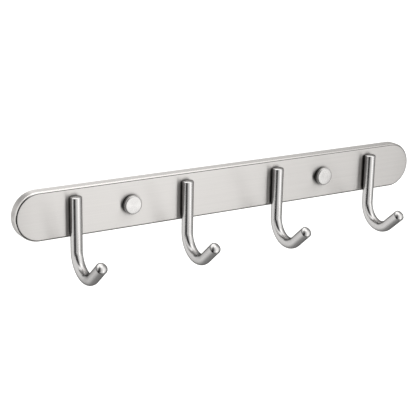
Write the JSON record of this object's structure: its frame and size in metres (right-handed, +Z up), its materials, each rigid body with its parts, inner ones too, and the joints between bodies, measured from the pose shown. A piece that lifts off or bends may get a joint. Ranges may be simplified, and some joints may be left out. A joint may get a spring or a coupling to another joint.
{
  "type": "wall hook rack",
  "caption": "Long round-ended steel wall rail with bent round-rod hooks and round screw covers between them.",
  "frame": {"origin": "middle of the rail's back, on the wall and midway between the two wall screws", "axes": "+X along the rail, to the right as seen from the room; +Z up; the wall is the plane y = 0 and the hooks point to -Y"},
  "size_m": [0.386, 0.0607, 0.0724],
  "materials": {
    "brushed_sheet": "brushed lengthwise",
    "satin_rod": "fine satin, almost polished",
    "turned_cover": "face turned, side polished",
    "turned_bush": "plain turned",
    "screw_steel": "zinc plated",
    "spring_steel": "zinc plated, dull"
  },
  "bodies": {
    "rack": {"rail": "brushed_sheet", "hook_1": "satin_rod", "hook_2": "satin_rod", "hook_3": "satin_rod", "hook_4": "satin_rod", "hook_screw_1_top": "screw_steel", "hook_screw_1_bottom": "screw_steel", "hook_screw_2_top": "screw_steel", "hook_screw_2_bottom": "screw_steel", "hook_screw_3_top": "screw_steel", "hook_screw_3_bottom": "screw_steel", "hook_screw_4_top": "screw_steel", "hook_screw_4_bottom": "screw_steel", "spring_washer_1_top": "spring_steel", "spring_washer_1_bottom": "spring_steel", "spring_washer_2_top": "spring_steel", "spring_washer_2_bottom": "spring_steel", "spring_washer_3_top": "spring_steel", "spring_washer_3_bottom": "spring_steel", "spring_washer_4_top": "spring_steel", "spring_washer_4_bottom": "spring_steel", "wall_spacer_left": "turned_bush", "wall_spacer_right": "turned_bush", "cover_seat_left": "turned_bush", "cover_seat_right": "turned_bush"},
    "cover_left": {"screw_cover_left": "turned_cover"},
    "cover_right": {"screw_cover_right": "turned_cover"}
  },
  "joints": [
    {"name": "cover_left_off", "type": "slide", "parent": "rack", "child": "cover_left", "axis": [0, -1, 0], "range_m": [0, 0.012]},
    {"name": "cover_right_off", "type": "slide", "parent": "rack", "child": "cover_right", "axis": [0, -1, 0], "range_m": [0, 0.012]}
  ]
}
